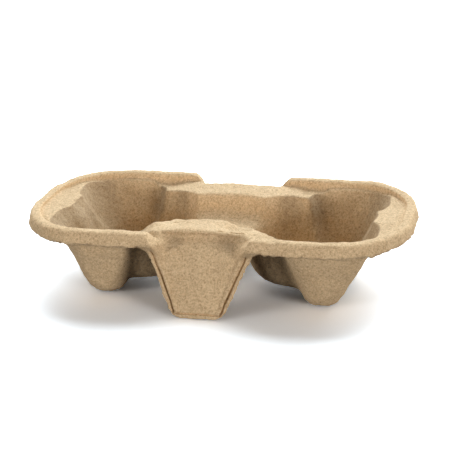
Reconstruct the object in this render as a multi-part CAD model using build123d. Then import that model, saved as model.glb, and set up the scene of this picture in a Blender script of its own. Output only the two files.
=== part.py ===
from build123d import *
import os

# A carrier for two cups, moulded in one piece from paper pulp. Millimetres, +Z up,
# X along the tray's long side. The origin is on the ground, under the middle.

# Overall size, over the lip of the rim
tray_length = 215.0
tray_width = 112.0
tray_height = 46.0
wall = 2.4

# Rim: a rounded bead whose lip hangs down and leans out
side_straight_half = 67.5
end_straight_half = 8.2
lip_drop = 6.8
lip_flare = 1.6
bead_width = 6.4
bead_round = 2.2
draft = 0.5

# Trim flange: the cut edge, stepped in behind the lip and the legs
flange_step = 1.6
flange_drop = 1.5
flange_lap = 1.5
trim_foot_half = 12.0
trim_lip_half = 30.0
trim_corner = 7.0

# Ledge inside the rim, and the lower shoulders beside the noses, with slanted ends
ledge_depth = 2.4
shoulder_depth = 6.0
shoulder_reach = 60.0
shoulder_foot = 50.0

# Noses between the wells, front and back, each with an arched hood on top
hood_dip = 1.4
hood_half = 40.0
nose_gap_half = 22.5
nose_inner_round = 1.6
nose_edge_lift = 0.4

# Saddle: the low bridge between the two wells, from nose to nose
saddle_depth = 15.0
saddle_half = 17.5
saddle_round = 8.0
valley_half = 30.0

# Notch in each long side: half widths and depths at the rim's top, at the knee and at the foot.
# The knee is level with the lip
rim_mouth_half = 28.6
rim_back_half = 26.5
rim_notch_depth = 16.0
rim_corner = 3.5
knee_mouth_half = 24.6
knee_back_half = 19.0
knee_notch_depth = 13.6
knee_corner = 7.0
foot_mouth_half = 7.8
foot_back_half = 7.4
foot_notch_depth = 0.8
foot_corner = 0.4
foot_lift = 2.4

# Wells: a round seat for the cup in each
well_end_gap = 58.0
seat_top_radius = 37.6
seat_floor_half_x = 26.0
seat_floor_half_y = 23.5
seat_floor_shift = 3.5
seat_floor = 9.0
seat_round = 6.0

# Corner pockets of a well, which end in feet on the ground
pocket_end_gap = 16.0
pocket_inner_gap = 66.0
pocket_middle_y = 2.0
pocket_inner_round = 10.0
pocket_end_straight = 7.5
foot_end_gap = 47.5
foot_side_gap = 32.0
foot_half = 6.5
foot_round = 6.0
foot_edge = 4.5

# Worked out from the sizes above
half_length = tray_length / 2
half_width = tray_width / 2
lip_height = tray_height - lip_drop
ledge_height = tray_height - ledge_depth
shoulder_height = tray_height - shoulder_depth
saddle_height = tray_height - saddle_depth
clear = tray_height
ledge_inset = lip_flare + bead_width
nose_y = half_width - ledge_inset
well_x = half_length - well_end_gap
pocket_side_y = nose_y - draft
pocket_outer_round = (pocket_side_y - pocket_middle_y - pocket_end_straight) / 2
panel_foot_half = foot_mouth_half + wall
panel_lip_half = knee_mouth_half + wall


def outline(inset, height):
    """The tray's outline, pulled in by inset: straight sides joined by quarter ellipses."""
    radius_x = half_length - inset - side_straight_half
    radius_y = half_width - inset - end_straight_half
    arcs = [
        EllipticalCenterArc((sx * side_straight_half, sy * end_straight_half), radius_x, radius_y,
                            start, arc_size=90)
        for sx, sy, start in ((1, 1, 0), (-1, 1, 90), (-1, -1, 180), (1, -1, 270))
    ]
    sides = [Line(arcs[i] @ 1, arcs[(i + 1) % 4] @ 0) for i in range(4)]
    return Pos(0, 0, height) * make_face(Wire(arcs + sides))


def slab(low_inset, low, high_inset, high):
    """A solid with the tray's outline and leaning sides."""
    return loft([outline(low_inset, low), outline(high_inset, high)], ruled=True)


def both_sides(shape):
    return shape + mirror(shape, Plane.XZ)


def across(profile):
    """A front view carried right through the tray."""
    return extrude(Plane.XZ * make_face(profile), amount=tray_width, both=True)


def notch_section(mouth_half, back_half, depth, corner, height, grow):
    """Plan of a notch: its mouth beyond the rim, slanted sides and a back line."""
    mouth = mouth_half + grow
    back = back_half + grow
    back_y = half_width - depth - grow
    beyond = half_width + wall
    path = FilletPolyline(
        (-mouth, beyond), (-mouth, half_width), (-back, back_y),
        (back, back_y), (mouth, half_width), (mouth, beyond),
        radius=[0, corner, corner, 0],
    )
    closing = Line(path @ 1, path @ 0)
    return Pos(0, 0, height) * make_face(path.edges() + closing.edges())


def notch(grow):
    """The space in front of a leg panel. Grown by the wall, it is the panel's inner face."""
    foot = notch_section(foot_mouth_half, foot_back_half, foot_notch_depth, foot_corner, 0, grow)
    knee = notch_section(knee_mouth_half, knee_back_half, knee_notch_depth, knee_corner, lip_height, grow)
    rim = notch_section(rim_mouth_half, rim_back_half, rim_notch_depth, rim_corner, tray_height, grow)
    return loft([foot, knee], ruled=True) + loft([knee, rim], ruled=True)


def rim():
    """The bead all round, broken by the notches, with its edges rounded over."""
    bead = slab(0, lip_height, lip_flare, tray_height)
    bead = bead - slab(ledge_inset + draft, lip_height, ledge_inset, tray_height) - both_sides(notch(0))
    return fillet(bead.faces().sort_by(Axis.Z)[-4:].edges(), bead_round)


def hood(grow):
    """The arch over the noses, from shoulder to shoulder, carried through the tray."""
    crown = tray_height - hood_dip - grow
    side = shoulder_height - grow
    arch = ThreePointArc((-hood_half, side), (0, crown), (hood_half, side))
    sides = Polyline(arch @ 1, (hood_half, side - wall), (-hood_half, side - wall), arch @ 0)
    return across(arch.edges() + sides.edges())


def valley(grow):
    """The space over the saddle, between the faces of the noses."""
    top = tray_height + clear
    crown = tray_height - hood_dip + nose_edge_lift - grow
    low = saddle_height - grow
    base = saddle_half + grow
    edge = nose_gap_half + grow
    convex = nose_inner_round + wall - grow
    beyond = edge + convex
    concave = saddle_round + grow
    profile = FilletPolyline(
        (-beyond, top), (-beyond, crown), (-edge, crown), (-base, low),
        (base, low), (edge, crown), (beyond, crown), (beyond, top),
        radius=[0, 0, convex, concave, concave, convex, 0, 0], close=True,
    )
    return extrude(Plane.YZ * make_face(profile), amount=valley_half, both=True)


def pocket_section(inner_x, outer_x, middle_y, side_y, inner_round, outer_round, height, grow):
    path = FilletPolyline(
        (inner_x - grow, middle_y - grow), (outer_x + grow, middle_y - grow),
        (outer_x + grow, side_y + grow), (inner_x - grow, side_y + grow),
        radius=[inner_round + grow, outer_round + grow, outer_round + grow, inner_round + grow], close=True,
    )
    return Pos(0, 0, height) * make_face(path.edges())


def corner_pocket(grow):
    """A deep pocket in a well's corner, with leaning walls, which ends in a foot on the ground."""
    foot_x = half_length - foot_end_gap
    foot_y = half_width - foot_side_gap
    foot = pocket_section(foot_x - foot_half, foot_x + foot_half, foot_y - foot_half, foot_y + foot_half,
                          foot_round, foot_round, wall - grow, grow)
    top = pocket_section(half_length - pocket_inner_gap, half_length - pocket_end_gap, pocket_middle_y,
                         pocket_side_y, pocket_inner_round, pocket_outer_round, tray_height, grow)
    solid = loft([foot, top], ruled=True)
    return fillet(solid.faces().sort_by(Axis.Z)[0].edges(), foot_edge + grow)


def seat(grow):
    """The round space that holds a cup, narrower at its floor and nearer the middle there."""
    floor = Pos(well_x - seat_floor_shift, 0, seat_floor - grow) * Ellipse(
        seat_floor_half_x + grow, seat_floor_half_y + grow)
    top = Pos(well_x, 0, tray_height) * Ellipse(seat_top_radius + grow, seat_top_radius + grow)
    cone = loft([floor, top], ruled=True)
    return fillet(cone.faces().sort_by(Axis.Z)[0].edges(), seat_round + grow)


def shoulders(grow):
    """The space over the lower floor beside the noses."""
    inset = ledge_inset - grow
    low = shoulder_height - grow
    foot = shoulder_foot + grow
    reach = shoulder_reach + grow
    ends = Polyline((-foot, low), (foot, low), (reach, tray_height), (-reach, tray_height), close=True)
    return slab(inset, low, inset, tray_height) & across(ends)


def pockets(grow):
    """What is sunk through the deck: the saddle's valley, a well's seat and its corner."""
    return [valley(grow), seat(grow), corner_pocket(grow)]


def deck():
    """All below the bead and inside it: the ledge, the shoulders and the arched hoods."""
    under_bead = lip_flare + bead_width / 2
    below = slab(0, -wall, 0, lip_height)
    inside = slab(under_bead, lip_height, under_bead, ledge_height)
    hoods = hood(0) & Box(tray_length, 2 * (half_width - under_bead), 2 * tray_height)
    return below + inside - shoulders(0) + hoods - both_sides(notch(0))


def hollow(sunk):
    """The space under the top skin, less the walls of what is sunk into it."""
    bead = slab(wall, lip_height, lip_flare + wall, tray_height - wall)
    below = slab(wall, -wall, wall, lip_height)
    return bead + below - both_sides(notch(wall)) - sunk


def front_trapezoid(foot_half_width, lip_half_width, low, high):
    """A shape seen from the front, with slanted sides, carried through the tray."""
    slope = (lip_half_width - foot_half_width) / lip_height
    low_half = foot_half_width + slope * low
    high_half = foot_half_width + slope * high
    profile = Polyline((-low_half, low), (low_half, low), (high_half, high), (-high_half, high), close=True)
    return across(profile)


def trim_flange():
    """The cut edge all round: under the lip, down each leg and across its foot."""
    high = lip_height + flange_lap
    ring = slab(flange_step, 0, flange_step, high) - slab(flange_step + wall, 0, flange_step + wall, high)
    low = lip_height - flange_drop
    cut_line = FilletPolyline(
        (-tray_length, high), (-tray_length, low), (-trim_lip_half, low), (-trim_foot_half, 0),
        (trim_foot_half, 0), (trim_lip_half, low), (tray_length, low), (tray_length, high),
        radius=[0, trim_corner, 0, 0, trim_corner, 0],
    )
    closing = Line(cut_line @ 1, cut_line @ 0)
    inside = front_trapezoid(panel_foot_half - flange_lap, panel_lip_half - flange_lap,
                             foot_lift + flange_lap, tray_height)
    return (ring & across(cut_line.edges() + closing.edges())) - inside


def sheet_quarter():
    """The right back quarter of the sheet: the top skin, cut off under the lip and beside the leg."""
    quarter = Box(tray_length, tray_width, 2 * tray_length, align=(Align.MIN, Align.MIN, Align.CENTER))
    ledge = slab(ledge_inset + draft - wall, ledge_height - wall, ledge_inset - wall, tray_height)
    sunk = (ledge + shoulders(wall) - hood(wall)) & quarter
    for pocket in pockets(wall):
        sunk = sunk + (pocket & quarter)
    lip_zone = Pos(0, 0, lip_height) * Box(
        tray_length, tray_width, clear, align=(Align.CENTER, Align.CENTER, Align.MIN))
    leg_zone = front_trapezoid(panel_foot_half, panel_lip_half, foot_lift, lip_height)
    sheet = (deck() & quarter) & (lip_zone + leg_zone + sunk)
    for pocket in pockets(0):
        sheet = sheet - pocket
    under = hollow(sunk) & quarter
    return (sheet - under) + ((rim() & quarter) - under) + (trim_flange() & quarter)


def cup_carrier():
    quarter = sheet_quarter()
    half = quarter + mirror(quarter, Plane.XZ)
    return half + mirror(half, Plane.YZ)


os.makedirs("parts", exist_ok=True)
export_step(cup_carrier(), "parts/cup_carrier.step")
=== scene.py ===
import math

import bmesh
import bpy
from bpy.props import FloatProperty, FloatVectorProperty, IntProperty, PointerProperty
from mathutils import Matrix, Vector, noise
from mathutils.bvhtree import BVHTree
from mathutils.geometry import intersect_point_line


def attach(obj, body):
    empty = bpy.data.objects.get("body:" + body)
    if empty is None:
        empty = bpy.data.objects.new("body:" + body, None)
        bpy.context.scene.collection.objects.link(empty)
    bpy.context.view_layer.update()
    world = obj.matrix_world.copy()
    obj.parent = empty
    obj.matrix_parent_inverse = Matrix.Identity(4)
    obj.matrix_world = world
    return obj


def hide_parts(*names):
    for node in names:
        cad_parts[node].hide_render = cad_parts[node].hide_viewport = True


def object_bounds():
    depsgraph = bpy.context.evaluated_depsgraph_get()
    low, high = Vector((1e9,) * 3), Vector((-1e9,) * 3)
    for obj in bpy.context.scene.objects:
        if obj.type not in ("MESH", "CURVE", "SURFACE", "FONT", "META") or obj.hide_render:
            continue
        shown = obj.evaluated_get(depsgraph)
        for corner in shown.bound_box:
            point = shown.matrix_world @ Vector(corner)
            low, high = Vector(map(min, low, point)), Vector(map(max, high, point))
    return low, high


bl_info = {
    "name": "Moulded Pulp Cup Carrier",
    "version": (1, 0, 0),
    "blender": (4, 5, 0),
    "location": "3D View > Sidebar > Cup Carrier",
    "description": "A two-cup carrier of moulded paper pulp, dressed around its fixed frame",
    "category": "Object",
}

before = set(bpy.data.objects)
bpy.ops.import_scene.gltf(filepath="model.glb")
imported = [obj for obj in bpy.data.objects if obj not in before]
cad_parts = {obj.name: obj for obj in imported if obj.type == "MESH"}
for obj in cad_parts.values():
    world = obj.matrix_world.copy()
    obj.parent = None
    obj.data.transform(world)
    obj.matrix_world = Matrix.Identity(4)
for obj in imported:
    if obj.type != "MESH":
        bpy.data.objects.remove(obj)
cad_low, cad_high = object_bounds()

SHEET_NODE = "cup_carrier"
BODY = "root"
# Name of the attribute that holds the painted shade on the wells' walls
WALL_SHADE_ATTRIBUTE = "well_wall"
SENSOR_WIDTH = 36.0
MERGE_DISTANCE = 1e-6
SMOOTHING_SHARE = 0.5

# The frame's main lines, in metres
WALL = 0.0024
SIDE_STRAIGHT = 0.0675
END_STRAIGHT = 0.0082
BEAD_INNER = 0.0080
LIP_HEIGHT = 0.0392
LEDGE_HEIGHT = 0.0436
TRIM_FOOT_HALF = 0.0120
TRIM_LIP_HALF = 0.0300
PANEL_FOOT_DEPTH = 0.0008
PANEL_LIP_DEPTH = 0.0136
HOOD_CROWN = 0.0446
HOOD_FALL = 2.9
HOOD_EDGE = 0.0404

# The sheet's regions, in metres: each blend starts at its first value and is full at its second
LEG_SIDE = (0.003, 0.006)
LEG_BACK = (-0.007, -0.003)
LEG_TOP = (0.040, 0.0425)
INSIDE_BEAD = (BEAD_INNER + 0.001, BEAD_INNER + 0.006)
TRAY_END = (0.055, 0.065)
UNDER_LEDGE = (0.0390, 0.0425)
WELL_DEPTH = (0.030, 0.038)
HOOD_SIDE = (0.030, 0.044)
HOOD_BOTTOM = (0.036, 0.041)

# The left front corner's lean
LEAN_BOTTOM = (0.006, 0.030)
LEAN_TOP = (0.036, LEDGE_HEIGHT)
LEAN_END = (0.058, 0.078)
LEAN_FRONT = (-0.012, 0.006)
LEAN_INSIDE = (0.006, 0.010)

# The legs: how high the panel stays flat, the rib and the trough (middle and spread), and the rounded foot
FLAT_TOP = (0.0310, 0.0415)
RIB = (-0.0005, 0.0038)
TROUGH = (0.0100, 0.0045)
TROUGH_SHARE = 0.8
RIB_BOTTOM = (0.002, 0.008)
RIB_TOP = (0.034, 0.041)
SHIFT_TOP = (0.033, 0.040)
SPREAD_HEIGHT = 0.022
FOOT_CORNER = (0.0080, 0.0122)
FOOT_CORNER_LIFT = 0.0016
FOOT_CORNER_HEIGHT = 0.005

# How the random heights are built: how fast finer lumps get lower, how much finer each step is, and the steps
RIPPLE_FALL = 1.0
RIPPLE_STEP = 2.0
LUMP_STEPS = 2
TEAR_STEPS = 3

# The torn edges: under the lip and beside each leg
TORN_LIP = (0.0045, 0.006)
TORN_LIP_TOP = (0.0378, 0.0402)
TORN_LEG = (-0.0022, -0.0006)
TORN_LEG_BOTTOM = (0.0005, 0.003)

# The groove inside the rim's bead: middle and spread, and the height where it is pressed in
RIM_GROOVE = (BEAD_INNER + 0.0006, 0.0008)
RIM_GROOVE_HEIGHT = (0.0415, 0.0430)

# The hoods: where the front one is lifted, and the lip and the hollow along each hood's outer edge
LIFT_FRONT = (0.031, 0.038)
LIFT_BOTTOM = (0.032, 0.038)
LIFT_START = (0.017, 0.022)
LIFT_END = (0.0425, 0.046)
HOOD_LIP_SIDE = (0.023, 0.028)
HOOD_LIP_DOWN = (0.0010, 0.0014)
HOOD_LIP_OUT = (0.0, 0.0016)
HOOD_HOLLOW_DOWN = (0.0046, 0.0018)
HOOD_HOLLOW_OUT = (0.0010, 0.0030)
HOOD_HOLLOW_SHARE = 0.7
# How much higher the front hood lies than the frame's arch, at places along X, on its well side and in front
HOOD_BACK_LIFTS = (
    (-0.0370, 0.0), (-0.0330, 0.0017), (-0.0295, 0.0027), (-0.0255, 0.0020), (-0.0215, 0.0010),
    (-0.0150, 0.0002), (-0.0090, 0.0006), (0.0040, 0.0008), (0.0080, 0.0003), (0.0120, -0.0015),
    (0.0155, -0.0026), (0.0190, -0.0022), (0.0240, -0.0004), (0.0280, 0.0),
)
HOOD_FRONT_LIFTS = (
    (-0.0360, 0.0), (-0.0320, 0.0010), (-0.0266, 0.0020), (-0.0200, 0.0012), (0.0130, 0.0011),
    (0.0216, 0.0013), (0.0260, 0.0006), (0.0300, 0.0),
)

# Lines pressed into the sheet: the cracks in the front hood, two along its edge and one on its crown
CRACKS = (
    (
        (0.0020, -0.0406, 0.0434), (0.0057, -0.0406, 0.0440),
        (0.0073, -0.0406, 0.0441), (0.0106, -0.0406, 0.0441),
    ),
    (
        (0.0148, -0.0406, 0.0437), (0.0173, -0.0406, 0.0440),
        (0.0193, -0.0406, 0.0436), (0.0218, -0.0406, 0.0438),
    ),
    ((-0.0200, -0.0288, 0.0430), (-0.0172, -0.0277, 0.0436), (-0.0142, -0.0263, 0.0440)),
)
# The grooves at both sides of the front leg panel and along its foot, where it meets the cut flange
GROOVES = (
    ((-0.0270, -0.0490, 0.0345), (-0.0205, -0.0510, 0.0200), (-0.0138, -0.0560, 0.0024)),
    ((0.0243, -0.0490, 0.0345), (0.0181, -0.0510, 0.0200), (0.0111, -0.0560, 0.0024)),
    ((-0.0134, -0.0560, 0.0026), (-0.0010, -0.0560, 0.0027), (0.0104, -0.0560, 0.0026)),
)
PATH_STEPS = 6
LINE_CUTS = 3
LINE_MARGIN = 4

# Painted shade on the wells' walls, darkened in colour under the ledge: which slopes count as wall, how much
# a wall facing the ends shows, and how deep it fades
WALL_OVERHANG = (-0.15, 0.0)
WALL_SLOPE = (0.82, 0.93)
WALL_ENDWARD = (0.15, 0.60)
WALL_LEAST = 0.15
WALL_INSIDE = (BEAD_INNER + 0.0004, BEAD_INNER + 0.0014)
WALL_BESIDE_HOOD = (0.024, 0.032)
WALL_FADE = (0.004, 0.030)
WALL_FADE_SHARE = 0.8
# The colour that the walls' painted shade multiplies the pulp by
WALL_SHADE_TONE = (0.15, 0.13, 0.12)

# The corner feet, which are set on the ground
FOOT_REACH = 0.04
FOOT_HEIGHT = 0.015

# The pulp's noise values between which a tone grows, and how much of it there is then
PATCH_SPAN = (0.3, 0.7)
PATCH_SHARE = 0.4
MOTTLE_SPAN = (0.38, 0.66)
SPECK_SPAN = (0.42, 0.68)
SPECK_SHARE = 0.9
MOTTLE_SCALE = 0.8
FINE_SPECK_SCALE = 1.5
PATCH_DETAIL = 3.0
FIBRE_DETAIL = 4.0
FUZZ_DETAIL = 6.0
MOTTLE_ROUGH = 0.7
FIBRE_ROUGH = 0.8
FUZZ_STRENGTH = 0.6
FUZZ_HEIGHT = 0.0005
PULP_SHEEN = 0.2


class PulpSheetSettings(bpy.types.PropertyGroup):
    """How the pressed sheet is rounded, roughened, torn and cracked."""

    grain: FloatProperty(
        name="Mesh grain", description="Edge length of the remeshed sheet",
        default=0.0008, min=0.0006, subtype="DISTANCE", unit="LENGTH")
    triangles: IntProperty(
        name="Triangles", description="How many triangles the finished sheet may have",
        default=190000, min=20000)
    edge_rounding: IntProperty(
        name="Edge rounding", description="Smoothing passes at the trimmed edges, the rim and the ledge",
        default=1, min=0)
    hood_rounding: IntProperty(
        name="Hood rounding", description="Smoothing passes at the hoods",
        default=3, min=0)
    well_rounding: IntProperty(
        name="Well rounding", description="Smoothing passes down in the wells",
        default=70, min=0)
    lump_size: FloatProperty(
        name="Lump size", description="Distance between the sheet's low lumps",
        default=0.014, subtype="DISTANCE", unit="LENGTH")
    lump_height: FloatProperty(
        name="Lump height", description="Height of the sheet's low lumps",
        default=0.0005, subtype="DISTANCE", unit="LENGTH")
    knot_size: FloatProperty(
        name="Knot size", description="Distance between the small knots of fibre",
        default=0.0032, subtype="DISTANCE", unit="LENGTH")
    knot_height: FloatProperty(
        name="Knot height", description="Height of the small knots of fibre",
        default=0.0003, subtype="DISTANCE", unit="LENGTH")
    tear_size: FloatProperty(
        name="Tear size", description="Distance between the teeth of the torn edges",
        default=0.0035, subtype="DISTANCE", unit="LENGTH")
    tear_depth: FloatProperty(
        name="Tear depth", description="How far the torn edges wander",
        default=0.0013, subtype="DISTANCE", unit="LENGTH")
    lobe_lean: FloatProperty(
        name="Lobe lean", description="How far the left front corner leans in half way up",
        default=0.0036, subtype="DISTANCE", unit="LENGTH")
    rib_height: FloatProperty(
        name="Rib height", description="Height of the soft upright rib on a leg panel",
        default=0.0008, subtype="DISTANCE", unit="LENGTH")
    crack_width: FloatProperty(
        name="Crack width", description="Half width of the cracks in the front hood",
        default=0.0005, subtype="DISTANCE", unit="LENGTH")
    crack_depth: FloatProperty(
        name="Crack depth", description="Depth of the cracks in the front hood",
        default=0.0012, subtype="DISTANCE", unit="LENGTH")
    groove_width: FloatProperty(
        name="Groove width", description="Half width of the groove between a leg panel and its flange",
        default=0.0006, subtype="DISTANCE", unit="LENGTH")
    groove_depth: FloatProperty(
        name="Groove depth", description="Depth of the groove between a leg panel and its flange",
        default=0.0013, subtype="DISTANCE", unit="LENGTH")
    hood_lip: FloatProperty(
        name="Hood lip", description="How far the hoods' outer edges stand out",
        default=0.0015, subtype="DISTANCE", unit="LENGTH")
    panel_flatness: FloatProperty(
        name="Panel flatness", description="How flat a leg panel lies between its cut edges",
        default=0.94, min=0.0, max=1.0, subtype="FACTOR")
    panel_plane: FloatProperty(
        name="Panel plane", description="Where the flat panel lies, as a share of the frame's depth",
        default=0.72, min=0.0, max=1.0, subtype="FACTOR")
    leg_shift: FloatProperty(
        name="Leg shift", description="How far the legs stand to the left, seen from the front",
        default=0.0013, subtype="DISTANCE", unit="LENGTH")
    foot_spread: FloatProperty(
        name="Foot spread", description="How much wider and further out a leg's foot stands",
        default=0.0015, subtype="DISTANCE", unit="LENGTH")
    rim_groove: FloatProperty(
        name="Rim groove", description="Depth of the groove between the rim's bead and the ledge",
        default=0.0013, subtype="DISTANCE", unit="LENGTH")


class PulpFinishSettings(bpy.types.PropertyGroup):
    """Colours and texture of the pulp, and the painted shade on the wells' walls."""

    body_colour: FloatVectorProperty(
        name="Body colour", description="The pulp's main colour",
        default=(0.63, 0.425, 0.23), size=3, subtype="COLOR")
    pale_colour: FloatVectorProperty(
        name="Pale fibres", description="Colour of the pale fibres",
        default=(0.80, 0.60, 0.365), size=3, subtype="COLOR")
    dark_colour: FloatVectorProperty(
        name="Dark fibres", description="Colour of the dark fibres",
        default=(0.36, 0.22, 0.11), size=3, subtype="COLOR")
    speck_scale: FloatProperty(
        name="Speck scale", description="Fibre specks for each metre",
        default=900.0)
    patch_scale: FloatProperty(
        name="Patch scale", description="Tonal patches for each metre",
        default=70.0)
    # Painted shade: how strongly the wells' walls are darkened in colour under the ledge
    painted_well_shade: FloatProperty(
        name="Well darkness", description="How much browner the wells' walls are under the ledge",
        default=0.43, min=0.0, max=1.0, subtype="FACTOR")
    roughness: FloatProperty(
        name="Roughness", description="How matt the pulp is",
        default=0.93, min=0.0, max=1.0, subtype="FACTOR")


class StudioSettings(bpy.types.PropertyGroup):
    """The camera, the lamps and the floor."""

    focal_length: FloatProperty(
        name="Focal length", description="Camera lens for a 36 mm wide sensor, in millimetres",
        default=102.76)
    distance: FloatProperty(
        name="Camera distance", description="From the camera to the point it looks at",
        default=0.7154, subtype="DISTANCE", unit="LENGTH")
    elevation: FloatProperty(
        name="Camera elevation", description="Angle of the view above the horizon",
        default=math.radians(20.3), subtype="ANGLE", unit="ROTATION")
    azimuth: FloatProperty(
        name="Camera azimuth", description="Angle of the view round the carrier",
        default=math.radians(14.7), subtype="ANGLE", unit="ROTATION")
    roll: FloatProperty(
        name="Camera roll", description="Tilt of the picture",
        default=math.radians(-2.0), subtype="ANGLE", unit="ROTATION")
    look_at: FloatVectorProperty(
        name="Look at", description="The point the camera looks at",
        default=(0.0014, 0.0, 0.0331), size=3, subtype="XYZ", unit="LENGTH")
    key_strength: FloatProperty(
        name="Key strength", description="Strength of the large lamp above and behind",
        default=5.3)
    key_direction: FloatVectorProperty(
        name="Key direction", description="Where the large lamp stands, from the carrier",
        default=(0.02, 0.74, 0.67), size=3, subtype="DIRECTION")
    key_colour: FloatVectorProperty(
        name="Key colour", description="Colour of the large lamp",
        default=(0.90, 1.0, 1.08), size=3, min=0.0, soft_max=2.0, subtype="COLOR")
    key_size: FloatProperty(
        name="Key size", description="How wide the key lamp looks from the carrier",
        default=math.radians(70), subtype="ANGLE", unit="ROTATION")
    left_strength: FloatProperty(
        name="Left strength", description="Strength of the lamp low at the left front",
        default=1.55)
    left_direction: FloatVectorProperty(
        name="Left direction", description="Where the left lamp stands, from the carrier",
        default=(-0.78, -0.61, 0.13), size=3, subtype="DIRECTION")
    right_strength: FloatProperty(
        name="Right strength", description="Strength of the lamp low at the right front",
        default=2.25)
    right_direction: FloatVectorProperty(
        name="Right direction", description="Where the right lamp stands, from the carrier",
        default=(0.83, -0.55, 0.11), size=3, subtype="DIRECTION")
    front_size: FloatProperty(
        name="Front lamp size", description="How wide a front lamp looks from the carrier",
        default=math.radians(20), subtype="ANGLE", unit="ROTATION")
    room_strength: FloatProperty(
        name="Room light", description="Strength of the light from all round",
        default=0.18)
    floor_white: FloatProperty(
        name="Floor white", description="The floor's colour as the camera sees it",
        default=1.65)
    floor_bounce: FloatProperty(
        name="Floor bounce", description="The floor's colour for the light that it throws back",
        default=0.1)
    floor_size: FloatProperty(
        name="Floor size", description="Width of the floor",
        default=6.0, subtype="DISTANCE", unit="LENGTH")


def node(tree, kind, **inputs):
    """Adds a shader node and sets the sockets named in inputs, with spaces for underscores."""
    made = tree.nodes.new(kind)
    for name, value in inputs.items():
        made.inputs[name.replace("_", " ")].default_value = value
    return made


def feed(tree, value, socket):
    """Links a socket to another one, or sets it to a number or a colour."""
    if isinstance(value, bpy.types.NodeSocket):
        tree.links.new(value, socket)
    else:
        socket.default_value = value


def grey(value):
    return (value, value, value, 1.0)


def noise_texture(tree, coordinates, scale, detail, rough=0.5):
    made = node(tree, "ShaderNodeTexNoise", Scale=scale, Detail=detail, Roughness=rough)
    tree.links.new(coordinates, made.inputs["Vector"])
    return made.outputs["Fac"]


def growing(tree, value, span, most):
    """0 up to the span's first value, and the most from its second one on."""
    made = node(tree, "ShaderNodeMapRange", From_Min=span[0], From_Max=span[1], To_Min=0.0, To_Max=most)
    tree.links.new(value, made.inputs["Value"])
    return made.outputs["Result"]


def worked_out(tree, operation, first, second):
    """The outcome of one sum on two values."""
    made = tree.nodes.new("ShaderNodeMath")
    made.operation = operation
    feed(tree, first, made.inputs[0])
    feed(tree, second, made.inputs[1])
    return made.outputs["Value"]


def mixed_colour(tree, factor, first, second, blend="MIX"):
    """Mixes two colours, each a colour or a socket."""
    made = tree.nodes.new("ShaderNodeMix")
    made.data_type = "RGBA"
    made.blend_type = blend
    tree.links.new(factor, made.inputs["Factor"])
    feed(tree, first, made.inputs[6])
    feed(tree, second, made.inputs[7])
    return made.outputs[2]


def pulp_material(settings):
    """Matt moulded pulp: a warm body, soft tonal patches, dark and pale fibres, and painted shade darkening
    the wells' walls under the ledge.
    """
    material = bpy.data.materials.new("moulded_pulp")
    material.use_nodes = True
    tree = material.node_tree
    shader = tree.nodes["Principled BSDF"]
    shader.inputs["Roughness"].default_value = settings.roughness
    shader.inputs["Specular IOR Level"].default_value = PULP_SHEEN
    place = tree.nodes.new("ShaderNodeTexCoord").outputs["Object"]

    patches = noise_texture(tree, place, settings.patch_scale, PATCH_DETAIL)
    mottle = noise_texture(tree, place, settings.speck_scale * MOTTLE_SCALE, FIBRE_DETAIL, MOTTLE_ROUGH)
    specks = noise_texture(tree, place, settings.speck_scale * FINE_SPECK_SCALE, FIBRE_DETAIL, FIBRE_ROUGH)
    body = (*settings.body_colour, 1.0)
    pale = (*settings.pale_colour, 1.0)
    dark = (*settings.dark_colour, 1.0)
    tone = mixed_colour(tree, growing(tree, patches, PATCH_SPAN, PATCH_SHARE), body, pale)
    tone = mixed_colour(tree, growing(tree, mottle, MOTTLE_SPAN, 1.0), tone, dark)
    tone = mixed_colour(tree, growing(tree, specks, SPECK_SPAN, SPECK_SHARE), tone, pale)

    # Painted shade: the wells' walls are darkened in colour under the ledge, where the lamps leave them too
    # light
    walls = tree.nodes.new("ShaderNodeAttribute")
    walls.attribute_name = WALL_SHADE_ATTRIBUTE
    share = worked_out(tree, "MULTIPLY", walls.outputs["Fac"], settings.painted_well_shade)
    tone = mixed_colour(tree, share, tone, (*WALL_SHADE_TONE, 1.0), blend="MULTIPLY")
    tree.links.new(tone, shader.inputs["Base Color"])

    fuzz = noise_texture(tree, place, settings.speck_scale, FUZZ_DETAIL, FIBRE_ROUGH)
    bump = node(tree, "ShaderNodeBump", Strength=FUZZ_STRENGTH, Distance=FUZZ_HEIGHT)
    tree.links.new(fuzz, bump.inputs["Height"])
    tree.links.new(bump.outputs["Normal"], shader.inputs["Normal"])
    return material


def floor_material(settings):
    """A pale floor that the camera sees as white where nothing shades it."""
    material = bpy.data.materials.new("studio_floor")
    material.use_nodes = True
    tree = material.node_tree
    tree.nodes.clear()
    seen = node(tree, "ShaderNodeBsdfDiffuse", Color=grey(settings.floor_white))
    bounce = node(tree, "ShaderNodeBsdfDiffuse", Color=grey(settings.floor_bounce))
    path = tree.nodes.new("ShaderNodeLightPath")
    rays = path.outputs["Is Camera Ray"]
    for name in ("Is Glossy Ray", "Is Transmission Ray"):
        rays = worked_out(tree, "MAXIMUM", rays, path.outputs[name])
    choice = tree.nodes.new("ShaderNodeMixShader")
    tree.links.new(rays, choice.inputs["Fac"])
    tree.links.new(bounce.outputs["BSDF"], choice.inputs[1])
    tree.links.new(seen.outputs["BSDF"], choice.inputs[2])
    output = tree.nodes.new("ShaderNodeOutputMaterial")
    tree.links.new(choice.outputs["Shader"], output.inputs["Surface"])
    return material


def new_piece(name, mesh, material):
    """Adds a mesh to the scene as an object, with its material."""
    piece = bpy.data.objects.new(name, mesh)
    bpy.context.scene.collection.objects.link(piece)
    mesh.materials.clear()
    mesh.materials.append(material)
    return piece


def merged_copy(node_name):
    """A copy of a frame node's mesh, with its loose triangles joined."""
    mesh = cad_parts[node_name].data.copy()
    shell = bmesh.new()
    shell.from_mesh(mesh)
    bmesh.ops.remove_doubles(shell, verts=shell.verts, dist=MERGE_DISTANCE)
    shell.to_mesh(mesh)
    shell.free()
    return mesh


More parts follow.
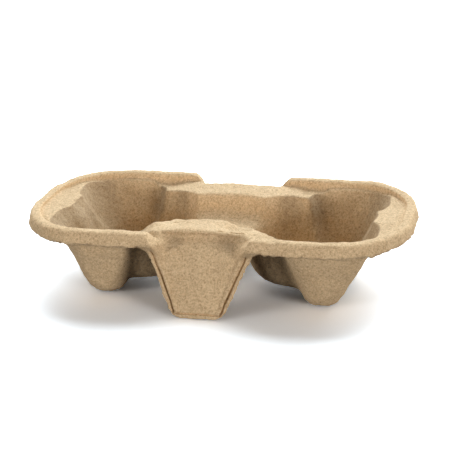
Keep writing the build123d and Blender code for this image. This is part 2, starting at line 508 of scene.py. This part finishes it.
def modified(mesh, kind, **values):
    """The mesh as one modifier leaves it."""
    holder = bpy.data.objects.new("modifier_holder", mesh)
    bpy.context.scene.collection.objects.link(holder)
    modifier = holder.modifiers.new(kind, kind)
    for name, value in values.items():
        setattr(modifier, name, value)
    evaluated = holder.evaluated_get(bpy.context.evaluated_depsgraph_get())
    made = bpy.data.meshes.new_from_object(evaluated)
    bpy.data.objects.remove(holder)
    return made


def smooth_step(value, low, high):
    """0 up to low, 1 from high on, and a soft rise between them."""
    share = min(max((value - low) / (high - low), 0.0), 1.0)
    return share * share * (3.0 - 2.0 * share)


def fade(value, low, high):
    """1 up to low, 0 from high on, and a soft fall between them."""
    return 1.0 - smooth_step(value, low, high)


def bell(value, middle, spread):
    """1 at the middle, with a soft fall to both sides."""
    return math.exp(-((value - middle) / spread) ** 2)


def along_table(value, table):
    """The second value of a table of pairs, between its rows, at a first value."""
    if not table[0][0] < value < table[-1][0]:
        return 0.0
    for (low, at_low), (high, at_high) in zip(table, table[1:]):
        if value <= high:
            return at_low + (at_high - at_low) * smooth_step(value, low, high)


def ripple(place, size, steps):
    """A soft random height, between about -1 and 1, with lumps of a given size."""
    return noise.fractal(place / size, RIPPLE_FALL, RIPPLE_STEP, steps)


def outline_gap(place):
    """How far a point lies inside the tray's outline, seen from above."""
    radius_x = cad_high.x - SIDE_STRAIGHT
    radius_y = cad_high.y - END_STRAIGHT
    beyond_x = max(abs(place.x) - SIDE_STRAIGHT, 0.0)
    beyond_y = max(abs(place.y) - END_STRAIGHT, 0.0)
    return (1.0 - math.hypot(beyond_x / radius_x, beyond_y / radius_y)) * (radius_x + radius_y) / 2


def up_the_leg(place, at_foot, at_lip):
    """A size of the leg that changes evenly from its foot up to the lip."""
    return at_foot + (at_lip - at_foot) * (place.z / LIP_HEIGHT)


def trim_half(place):
    """Half the width between a leg's cut edges."""
    return up_the_leg(place, TRIM_FOOT_HALF, TRIM_LIP_HALF)


def panel_depth(place):
    """How far the frame's leg panel lies behind the carrier's side."""
    return up_the_leg(place, PANEL_FOOT_DEPTH, PANEL_LIP_DEPTH)


def leg_share(place):
    """1 on a leg panel and its flanges, 0 away from it."""
    across = fade(abs(place.x) - trim_half(place), *LEG_SIDE)
    out = smooth_step(abs(place.y) - cad_high.y + panel_depth(place), *LEG_BACK)
    return across * out * fade(place.z, *LEG_TOP)


def rounding_passes(place, settings):
    """How often a point of the sheet is smoothed: little at the edges, much down in the wells."""
    inward = smooth_step(outline_gap(place), *INSIDE_BEAD)
    end_wall = smooth_step(abs(place.x), *TRAY_END) * fade(place.z, *UNDER_LEDGE)
    depth = max(fade(place.z, *WELL_DEPTH), end_wall)
    hood = fade(abs(place.x), *HOOD_SIDE) * smooth_step(place.z, *HOOD_BOTTOM)
    well = settings.edge_rounding + depth * (settings.well_rounding - settings.edge_rounding)
    inner = well + hood * (settings.hood_rounding - well)
    passes = settings.edge_rounding + inward * (inner - settings.edge_rounding)
    return passes + leg_share(place) * (settings.edge_rounding - passes)


def round_over(sheet, settings):
    """Smooths every point of the sheet as often as its place asks for."""
    wanted = [(rounding_passes(vert.co, settings), vert) for vert in sheet.verts]
    most = max(passes for passes, vert in wanted)
    for done in range(math.ceil(most)):
        verts = [vert for passes, vert in wanted if passes > done]
        bmesh.ops.smooth_vert(
            sheet, verts=verts, factor=SMOOTHING_SHARE, use_axis_x=True, use_axis_y=True, use_axis_z=True)


def lean_in(place, settings):
    """The left front corner of the sheet, half way up its wall, leans in a little."""
    height = smooth_step(place.z, *LEAN_BOTTOM) * fade(place.z, *LEAN_TOP)
    side = smooth_step(-place.x, *LEAN_END) * smooth_step(-place.y, *LEAN_FRONT)
    inside = smooth_step(outline_gap(place), *LEAN_INSIDE)
    return Vector((settings.lobe_lean * height * side * inside, 0.0, 0.0))


def rib(place, settings):
    """A soft upright rib on each leg panel, with a shallow trough beside it."""
    turned = math.copysign(1.0, place.y)
    along = -turned * place.x
    height = bell(along, *RIB) - TROUGH_SHARE * bell(along, *TROUGH)
    ends = smooth_step(place.z, *RIB_BOTTOM) * fade(place.z, *RIB_TOP)
    return Vector((0.0, turned * settings.rib_height * height * ends * leg_share(place), 0.0))


def front_lift(place):
    """How much higher the front hood's uneven arch lies at a point than the frame's own."""
    if place.y >= 0.0:
        return 0.0
    back_lift = along_table(place.x, HOOD_BACK_LIFTS)
    front_side_lift = along_table(place.x, HOOD_FRONT_LIFTS)
    lift = back_lift + (front_side_lift - back_lift) * smooth_step(-place.y, *LIFT_FRONT)
    lift *= smooth_step(place.z, *LIFT_BOTTOM)
    return lift * (smooth_step(-place.y, *LIFT_START) * fade(-place.y, *LIFT_END))


def hood_edge(place, settings):
    """The front hood's uneven arch, and the rounded lip and the hollow along each hood's outer edge."""
    turned = math.copysign(1.0, place.y)
    below = HOOD_CROWN - HOOD_FALL * place.x ** 2 - place.z
    out = abs(place.y) - HOOD_EDGE
    lip = bell(below, *HOOD_LIP_DOWN) * bell(out, *HOOD_LIP_OUT)
    hollow = bell(below, *HOOD_HOLLOW_DOWN) * bell(out, *HOOD_HOLLOW_OUT)
    stand = settings.hood_lip * fade(abs(place.x), *HOOD_LIP_SIDE) * (lip - HOOD_HOLLOW_SHARE * hollow)
    return Vector((0.0, turned * stand, front_lift(place)))


def panel_flat(place, normal, settings):
    """Makes a leg panel nearly flat: its cut edges are drawn in and its middle comes out to one plane."""
    full = panel_depth(place)
    turned = math.copysign(1.0, place.y)
    skin = 0.5 * WALL * (1.0 - normal.y * turned)
    depth = min(max(cad_high.y - abs(place.y) - skin, 0.0), full)
    out = (depth - settings.panel_plane * full) * (settings.panel_flatness * fade(place.z, *FLAT_TOP))
    return Vector((0.0, turned * out, 0.0)) * leg_share(place)


def leg_lean(place, settings):
    """The legs stand a little to one side, and their feet spread and have rounded corners."""
    low = max(1.0 - place.z / SPREAD_HEIGHT, 0.0)
    shift = -settings.leg_shift * fade(place.z, *SHIFT_TOP)
    spread = settings.foot_spread * low * place.x / TRIM_FOOT_HALF
    out = math.copysign(settings.foot_spread * low, place.y)
    corner = FOOT_CORNER_LIFT * smooth_step(abs(place.x), *FOOT_CORNER)
    corner *= max(1.0 - place.z / FOOT_CORNER_HEIGHT, 0.0)
    return Vector((shift + spread, out, corner)) * leg_share(place)


def torn(place, settings):
    """The wandering of the trimmed edges: under the lip and down both sides of each leg."""
    wander = ripple(place, settings.tear_size, TEAR_STEPS) * settings.tear_depth
    leg = leg_share(place)
    under_lip = fade(outline_gap(place), *TORN_LIP) * fade(place.z, *TORN_LIP_TOP) * (1.0 - leg)
    beside_leg = leg * smooth_step(abs(place.x) - trim_half(place), *TORN_LEG)
    beside_leg *= smooth_step(place.z, *TORN_LEG_BOTTOM)
    return Vector((math.copysign(wander, place.x) * beside_leg, 0.0, wander * under_lip))


def roughened(sheet, settings):
    """Moves every point by the sheet's leans, panels, hoods, tears, lumps, knots and rim groove."""
    sheet.normal_update()
    for vert in sheet.verts:
        place = vert.co.copy()
        lump = ripple(place, settings.lump_size, LUMP_STEPS) * settings.lump_height
        knot = ripple(place, settings.knot_size, LUMP_STEPS) * settings.knot_height
        vert.co += lean_in(place, settings) + rib(place, settings) + torn(place, settings)
        vert.co += panel_flat(place, vert.normal, settings)
        vert.co += hood_edge(place, settings) + leg_lean(place, settings)
        groove = bell(outline_gap(place), *RIM_GROOVE) * smooth_step(place.z, *RIM_GROOVE_HEIGHT)
        vert.co += vert.normal * (lump + knot - settings.rim_groove * groove)


def laid_on(surface, path):
    """The points of a path, and points between them, each moved to the nearest place on a surface."""
    points = [Vector(start).lerp(Vector(end), step / PATH_STEPS)
              for start, end in zip(path, path[1:]) for step in range(PATH_STEPS)]
    points.append(Vector(path[-1]))
    return [surface.find_nearest(point)[0] for point in points]


def path_distance(place, path):
    """From a point to the nearest stretch of a line of points."""
    gaps = []
    for start, end in zip(path, path[1:]):
        nearest, share = intersect_point_line(place, start, end)
        nearest = start if share < 0 else end if share > 1 else nearest
        gaps.append((place - nearest).length)
    return min(gaps)


def pressed_line(sheet, path, width, depth, grain):
    """Presses a narrow line into the sheet along a path, in faces fine enough to hold it."""
    path = laid_on(BVHTree.FromBMesh(sheet), path)
    middle = sum(path, Vector()) / len(path)
    reach = max((point - middle).length for point in path) + LINE_MARGIN * width
    around = [face for face in sheet.faces if (face.calc_center_median() - middle).length < reach]
    near = [face for face in around if path_distance(face.calc_center_median(), path) < width + grain]
    edges = list({edge for face in near for edge in face.edges})
    bmesh.ops.subdivide_edges(sheet, edges=edges, cuts=LINE_CUTS, use_grid_fill=True)
    sheet.normal_update()
    for vert in sheet.verts:
        if (vert.co - middle).length < reach:
            share = path_distance(vert.co, path) / width
            if share < 1.0:
                vert.co -= vert.normal * depth * (1.0 - share * share)


def cracked(sheet, settings):
    """Presses the cracks into the front hood, and the grooves round both leg panels."""
    for path in CRACKS:
        pressed_line(sheet, path, settings.crack_width, settings.crack_depth, settings.grain)
    for path in GROOVES:
        other_side = [(x, -y, z) for x, y, z in path]
        pressed_line(sheet, path, settings.groove_width, settings.groove_depth, settings.grain)
        pressed_line(sheet, other_side, settings.groove_width, settings.groove_depth, settings.grain)


def settled(sheet):
    """Sets the corner feet back on the ground, and the whole sheet in the frame's own box."""
    feet = [vert for vert in sheet.verts if abs(vert.co.x) > FOOT_REACH and vert.co.z < FOOT_HEIGHT]
    lift = min(vert.co.z for vert in feet)
    for vert in feet:
        vert.co.z -= lift * (1.0 - vert.co.z / FOOT_HEIGHT)
    for axis in range(3):
        low = min(vert.co[axis] for vert in sheet.verts)
        high = max(vert.co[axis] for vert in sheet.verts)
        stretch = (cad_high[axis] - cad_low[axis]) / (high - low)
        for vert in sheet.verts:
            vert.co[axis] = cad_low[axis] + (vert.co[axis] - low) * stretch


def thinned(mesh, triangles):
    """The mesh with no more than a given number of triangles."""
    return modified(mesh, "DECIMATE", ratio=min(1.0, triangles / len(mesh.polygons)))


def mark_painted_well_shade(mesh):
    """Keeps, for each point, how strongly painted shade darkens it on a well's wall: 1 just under the ledge,
    less further down.
    """
    marks = mesh.attributes.new(WALL_SHADE_ATTRIBUTE, "FLOAT", "POINT")
    for vert, mark in zip(mesh.vertices, marks.data):
        place, upward = vert.co, vert.normal.z
        steep = smooth_step(upward, *WALL_OVERHANG) * fade(upward, *WALL_SLOPE)
        endward = WALL_LEAST + (1.0 - WALL_LEAST) * smooth_step(abs(vert.normal.x), *WALL_ENDWARD)
        inside = smooth_step(outline_gap(place), *WALL_INSIDE)
        beside = smooth_step(abs(place.x), *WALL_BESIDE_HOOD)
        depth = 1.0 - WALL_FADE_SHARE * smooth_step(LEDGE_HEIGHT - place.z, *WALL_FADE)
        mark.value = steep * endward * inside * beside * depth


class CARRIER_OT_pulp_sheet(bpy.types.Operator):
    """Makes the pressed sheet of pulp: rounded, lumpy, torn at its edges and cracked at the front hood"""

    bl_idname = "carrier.pulp_sheet"
    bl_label = "Pulp Sheet"

    def execute(self, context):
        settings = context.scene.carrier_sheet
        mesh = modified(merged_copy(SHEET_NODE), "REMESH", mode="VOXEL", voxel_size=settings.grain)
        if not mesh.polygons:
            raise RuntimeError("the sheet has no faces")
        sheet = bmesh.new()
        sheet.from_mesh(mesh)
        round_over(sheet, settings)
        roughened(sheet, settings)
        cracked(sheet, settings)
        settled(sheet)
        bmesh.ops.triangulate(sheet, faces=sheet.faces)
        for face in sheet.faces:
            face.smooth = True
        sheet.to_mesh(mesh)
        sheet.free()
        mesh = thinned(mesh, settings.triangles)
        # Marks where painted shade darkens the wells' walls
        mark_painted_well_shade(mesh)
        piece = new_piece("pulp_sheet", mesh, pulp_material(context.scene.carrier_finish))
        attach(piece, BODY)
        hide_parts(SHEET_NODE)
        return {"FINISHED"}


def add_floor(settings):
    """Adds the wide floor under the carrier."""
    ground = bmesh.new()
    bmesh.ops.create_grid(ground, x_segments=1, y_segments=1, size=settings.floor_size / 2)
    mesh = bpy.data.meshes.new("studio_floor")
    ground.to_mesh(mesh)
    ground.free()
    floor = new_piece("studio_floor", mesh, floor_material(settings))


def add_room(settings):
    """Adds the faint white light from all round."""
    world = bpy.data.worlds.new("studio_room")
    world.use_nodes = True
    background = world.node_tree.nodes["Background"]
    background.inputs["Color"].default_value = grey(1.0)
    background.inputs["Strength"].default_value = settings.room_strength
    bpy.context.scene.world = world


def new_lamp(name, direction, strength, width, colour=(1.0, 1.0, 1.0)):
    """Adds a soft lamp, far away in the given direction."""
    lamp = bpy.data.lights.new(name, "SUN")
    lamp.energy = strength
    lamp.angle = width
    lamp.color = colour
    holder = bpy.data.objects.new(name, lamp)
    holder.rotation_euler = Vector(direction).to_track_quat("Z", "Y").to_euler()
    bpy.context.scene.collection.objects.link(holder)


def add_lamps(settings):
    """Adds the large lamp above and behind, and the two low ones in front."""
    new_lamp(
        "key_lamp", settings.key_direction, settings.key_strength, settings.key_size, settings.key_colour)
    new_lamp("left_lamp", settings.left_direction, settings.left_strength, settings.front_size)
    new_lamp("right_lamp", settings.right_direction, settings.right_strength, settings.front_size)


def add_camera(settings):
    """Adds the camera at the photographed angle."""
    pitch, turn, roll = settings.elevation, settings.azimuth, settings.roll
    level = math.cos(pitch)
    forward = Vector((-math.sin(turn) * level, math.cos(turn) * level, -math.sin(pitch)))
    right = Vector((math.cos(turn), math.sin(turn), 0.0))
    up = right.cross(forward)
    camera_right = right * math.cos(roll) + up * math.sin(roll)
    camera_up = up * math.cos(roll) - right * math.sin(roll)
    place = Vector(settings.look_at) - forward * settings.distance
    camera = bpy.data.objects.new("studio_camera", bpy.data.cameras.new("studio_camera"))
    camera.data.lens = settings.focal_length
    camera.data.sensor_width = SENSOR_WIDTH
    rows = zip(camera_right, camera_up, -forward, place)
    camera.matrix_world = Matrix([*map(tuple, rows), (0.0, 0.0, 0.0, 1.0)])
    bpy.context.scene.collection.objects.link(camera)
    bpy.context.scene.camera = camera


class CARRIER_OT_studio(bpy.types.Operator):
    """Adds the white floor, the room's light, the lamps and the camera"""

    bl_idname = "carrier.studio"
    bl_label = "Studio"

    def execute(self, context):
        settings = context.scene.carrier_studio
        add_floor(settings)
        add_room(settings)
        add_lamps(settings)
        add_camera(settings)
        context.scene.view_settings.view_transform = "Standard"
        return {"FINISHED"}


class CARRIER_PT_panel(bpy.types.Panel):
    """Lists the carrier's settings and its operators"""

    bl_idname = "CARRIER_PT_panel"
    bl_label = "Cup Carrier"
    bl_space_type = "VIEW_3D"
    bl_region_type = "UI"
    bl_category = "Cup Carrier"

    def draw(self, context):
        for group, operator in (
            (context.scene.carrier_sheet, CARRIER_OT_pulp_sheet),
            (context.scene.carrier_finish, None),
            (context.scene.carrier_studio, CARRIER_OT_studio),
        ):
            box = self.layout.box()
            for name in group.bl_rna.properties.keys():
                if name not in ("rna_type", "name"):
                    box.prop(group, name)
            if operator:
                box.operator(operator.bl_idname)


CLASSES = (
    PulpSheetSettings,
    PulpFinishSettings,
    StudioSettings,
    CARRIER_OT_pulp_sheet,
    CARRIER_OT_studio,
    CARRIER_PT_panel,
)
SETTINGS = {
    "carrier_sheet": PulpSheetSettings,
    "carrier_finish": PulpFinishSettings,
    "carrier_studio": StudioSettings,
}


def register():
    for cls in CLASSES:
        bpy.utils.register_class(cls)
    for name, group in SETTINGS.items():
        setattr(bpy.types.Scene, name, PointerProperty(type=group))


def unregister():
    for name in SETTINGS:
        delattr(bpy.types.Scene, name)
    for cls in reversed(CLASSES):
        bpy.utils.unregister_class(cls)


def main():
    register()
    bpy.ops.carrier.pulp_sheet()
    bpy.ops.carrier.studio()


if __name__ == "__main__":
    main()
